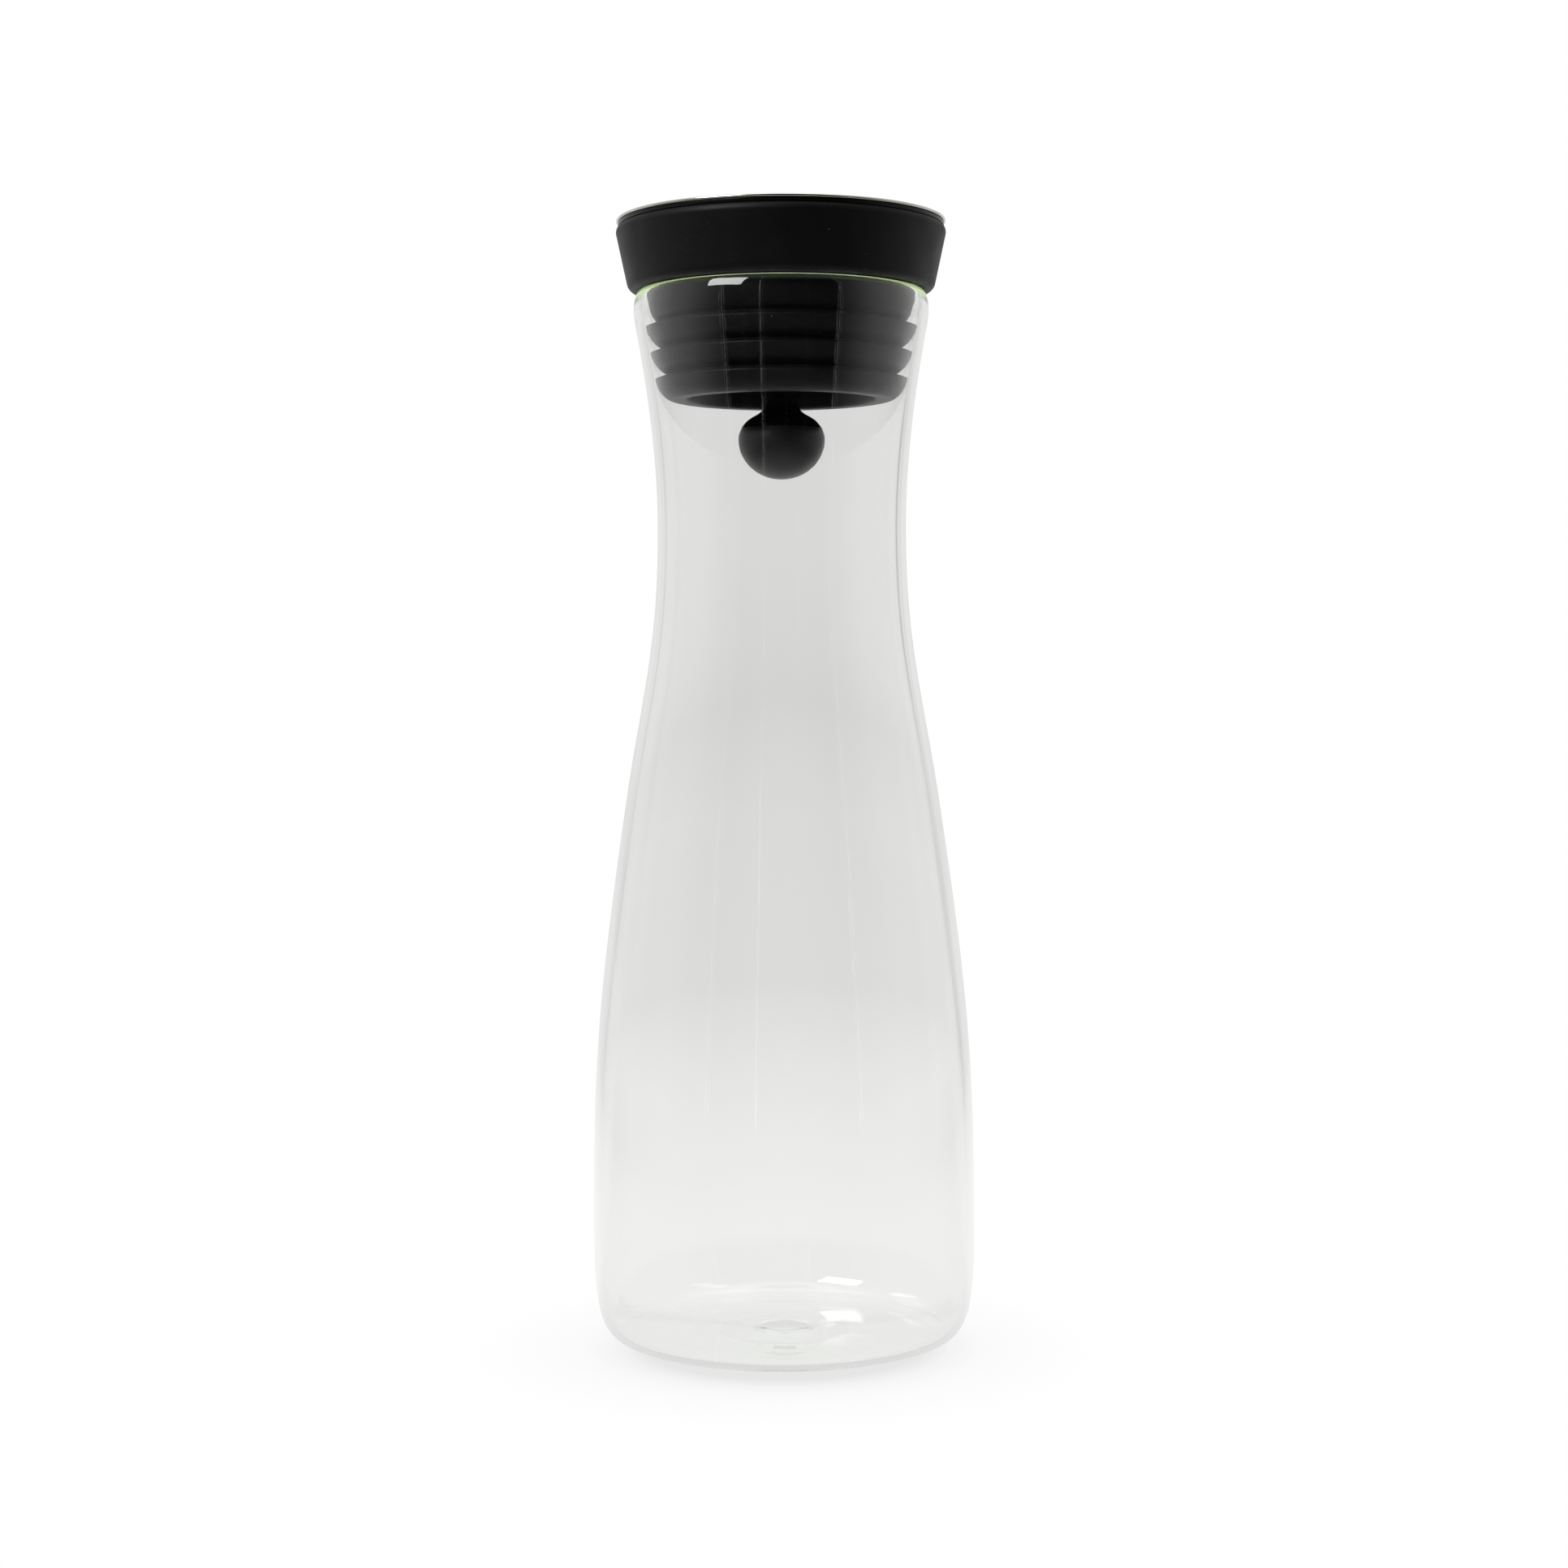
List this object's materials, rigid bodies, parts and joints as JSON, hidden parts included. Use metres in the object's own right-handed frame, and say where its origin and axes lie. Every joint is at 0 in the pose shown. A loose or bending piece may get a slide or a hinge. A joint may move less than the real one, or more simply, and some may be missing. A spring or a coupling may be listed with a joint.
{
  "type": "glass carafe with self-opening lid",
  "caption": "Clear glass carafe with a waisted neck and a black silicone stopper, whose steel-capped lid hangs on a weighted stem and tips open by itself when pouring.",
  "frame": {"origin": "middle of the foot, on the surface that the carafe stands on", "axes": "+Z is the carafe's axis, upwards; +X is the side that it pours over, where the lid opens; the lid tips about its edge at -X"},
  "size_m": [0.095, 0.095, 0.2795],
  "materials": {
    "glass": "clear blown glass, fire-polished",
    "silicone": "matt black silicone, with a little dust",
    "black_plastic": "satin black moulded plastic",
    "weight_coat": "matt black soft coat",
    "polished_steel": "stainless sheet, fine brushed and polished at the edge",
    "plain_steel": "turned stainless steel"
  },
  "bodies": {
    "carafe": {"carafe_glass": "glass"},
    "stopper": {"stopper_sleeve": "silicone", "pour_funnel": "black_plastic", "stem_guide": "black_plastic"},
    "lid": {"lid_cap": "polished_steel", "lid_core": "black_plastic", "pendulum_stem": "black_plastic", "stem_screw": "plain_steel", "weight_slug": "plain_steel", "weight_cap": "black_plastic", "weight_bowl": "weight_coat"}
  },
  "joints": [
    {"name": "stopper_lift", "type": "slide", "parent": "carafe", "child": "stopper", "axis": [0, 0, 1], "range_m": [0, 0.08]},
    {"name": "lid_tilt", "type": "hinge", "parent": "stopper", "child": "lid", "pos_m": [-0.0403, 0, 0.276], "axis": [0, -1, 0], "range_deg": [0, 14]}
  ]
}
